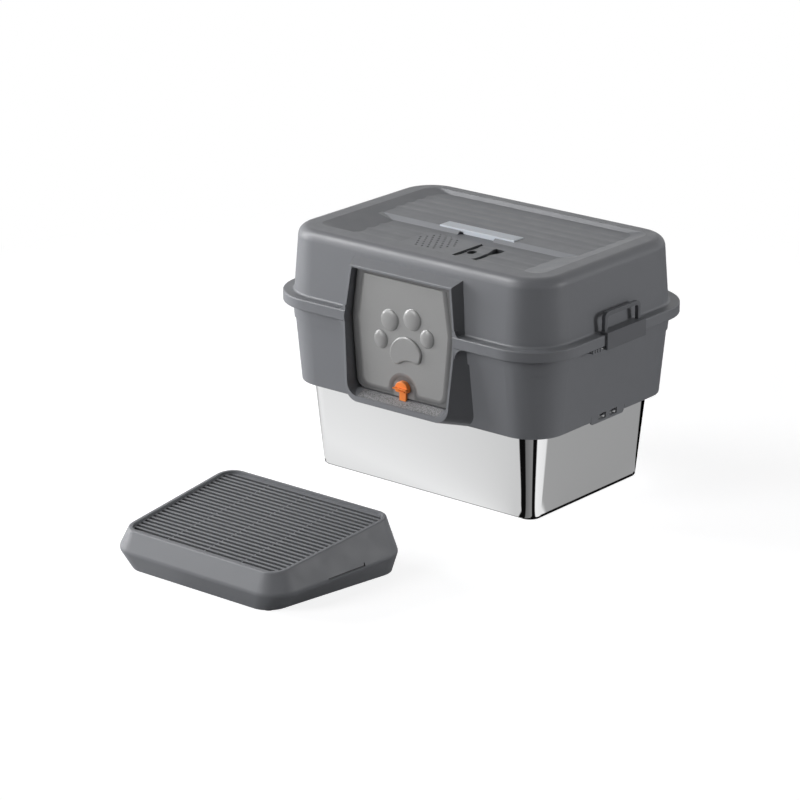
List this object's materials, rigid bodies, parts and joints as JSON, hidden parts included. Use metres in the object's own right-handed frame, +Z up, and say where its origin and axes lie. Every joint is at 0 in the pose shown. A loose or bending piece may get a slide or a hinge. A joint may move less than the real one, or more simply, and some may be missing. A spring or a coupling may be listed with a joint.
{
  "type": "litter box",
  "caption": "Front-entry litter box: steel pan, clip-on collar, lift-off hood with a lockable flap, side latches, vented filter cover, pull-up handle and a separate slatted step.",
  "frame": {"origin": "centre of the steel pan's underside, on the floor", "axes": "+Z up, +X along the box to its right-hand latch, -Y out of the door towards the entry step"},
  "size_m": [0.6296, 0.9833, 0.439],
  "materials": {
    "polished_steel": "mirror polished stainless steel",
    "grey_shell": "satin moulded polypropylene",
    "grey_hood": "satin moulded polypropylene",
    "tread_grain": "fine grained anti-slip strip",
    "pin_steel": "drawn steel",
    "rod_steel": "drawn steel",
    "pin_steel_small": "drawn steel",
    "flap_clear": "smoky translucent panel",
    "orange": "satin orange",
    "orange_clip": "satin orange",
    "latch_grey": "satin",
    "cover_grey": "satin moulded",
    "basket_grey": "satin moulded",
    "carbon": "carbon felt",
    "handle_pale": "satin pale blue grey",
    "post_pale": "satin",
    "step_grey": "satin moulded",
    "tread_grey": "satin moulded slats",
    "foot_rubber": "rubber"
  },
  "bodies": {
    "pan": {"steel_pan": "polished_steel"},
    "collar": {"collar_shell": "grey_shell", "sill_mat": "tread_grain", "latch_pin_left": "pin_steel", "latch_pin_right": "pin_steel"},
    "hood": {"hood_shell": "grey_hood", "hinge_rod": "rod_steel", "cover_pin": "pin_steel_small"},
    "flap": {"flap_panel": "flap_clear"},
    "lock": {"lock_bolt": "orange", "lock_clip": "orange_clip"},
    "latch_left": {"latch_left": "latch_grey"},
    "latch_right": {"latch_right": "latch_grey"},
    "filter": {"filter_cover": "cover_grey", "filter_basket": "basket_grey", "carbon_pad": "carbon"},
    "handle": {"handle_bar": "handle_pale", "handle_post_left": "post_pale", "handle_post_right": "post_pale", "handle_stop_left": "post_pale", "handle_stop_right": "post_pale"},
    "step": {"step_base": "step_grey", "step_foot_1": "foot_rubber", "step_foot_2": "foot_rubber", "step_foot_3": "foot_rubber", "step_foot_4": "foot_rubber"},
    "tread": {"step_tread": "tread_grey"}
  },
  "joints": [
    {"name": "collar_lift", "type": "slide", "parent": "pan", "child": "collar", "axis": [0, 0, 1], "range_m": [0, 0.25]},
    {"name": "hood_lift", "type": "slide", "parent": "collar", "child": "hood", "axis": [0, 0, 1], "range_m": [0, 0.25]},
    {"name": "flap_swing", "type": "hinge", "parent": "hood", "child": "flap", "pos_m": [0, -0.207, 0.401], "axis": [1, 0, 0], "range_deg": [-65, 65]},
    {"name": "bolt_slide", "type": "slide", "parent": "flap", "child": "lock", "axis": [0, 0, 1], "range_m": [0, 0.0065]},
    {"name": "latch_right_swing", "type": "hinge", "parent": "collar", "child": "latch_right", "pos_m": [0.30661, 0, 0.3002], "axis": [0, 1, 0], "range_deg": [0, 120]},
    {"name": "latch_left_swing", "type": "hinge", "parent": "collar", "child": "latch_left", "pos_m": [-0.30661, 0, 0.3002], "axis": [0, -1, 0], "range_deg": [0, 120]},
    {"name": "filter_cover_swing", "type": "hinge", "parent": "hood", "child": "filter", "pos_m": [-0.0825, 0, 0.427], "axis": [0, -1, 0], "range_deg": [0, 95]},
    {"name": "handle_pull", "type": "slide", "parent": "hood", "child": "handle", "axis": [0, 0, 1], "range_m": [0, 0.022]},
    {"name": "step_push", "type": "slide", "parent": "pan", "child": "step", "axis": [0, 1, 0], "range_m": [0, 0.28]},
    {"name": "tread_lift", "type": "slide", "parent": "step", "child": "tread", "axis": [0, 0, 1], "range_m": [0, 0.06]}
  ]
}
